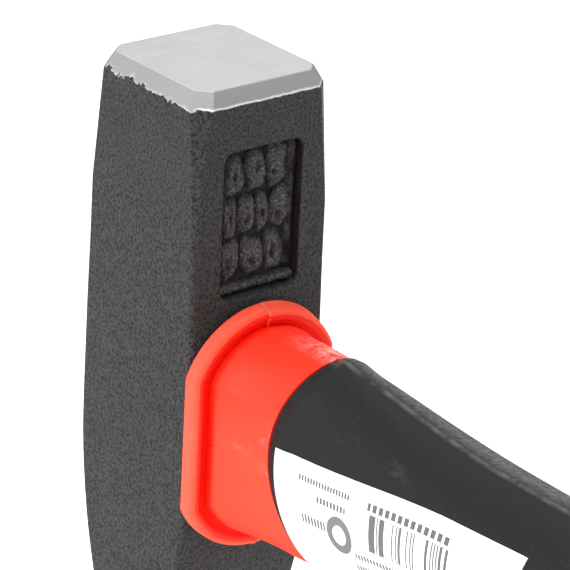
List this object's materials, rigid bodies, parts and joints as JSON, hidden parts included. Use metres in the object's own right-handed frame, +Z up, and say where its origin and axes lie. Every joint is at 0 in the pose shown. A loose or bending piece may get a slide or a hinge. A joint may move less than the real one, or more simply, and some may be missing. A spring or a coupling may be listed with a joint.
{
  "type": "cross-pein hammer",
  "caption": "Engineer's cross-pein hammer: square ground face, black forged head, red moulded collar and a black rubber grip on a fibreglass core.",
  "frame": {"origin": "on the ground, under the middle of the whole hammer's box as it stands on its pein edge and the butt of its handle; the handle's middle plane is at Y 0.5 mm, as the rim sits 0.5 mm off it", "axes": "+Z up, with the striking face at the top, +X along the handle from the head to the butt, +Y across the head"},
  "size_m": [0.2994, 0.0242, 0.1054],
  "materials": {
    "black_paint": "satin black paint on a forged head, ground bright on the face and its chamfers",
    "resin": "poured bonding resin",
    "fibreglass": "pultruded fibreglass rod",
    "red_plastic": "satin moulded polypropylene",
    "black_rubber": "matte moulded rubber",
    "white_paper": "printed sticker"
  },
  "bodies": {
    "root": {"hammer_head": "black_paint", "eye_resin": "resin", "core_rod": "fibreglass", "handle_jacket": "red_plastic", "rubber_grip": "black_rubber", "label": "white_paper"}
  },
  "joints": []
}
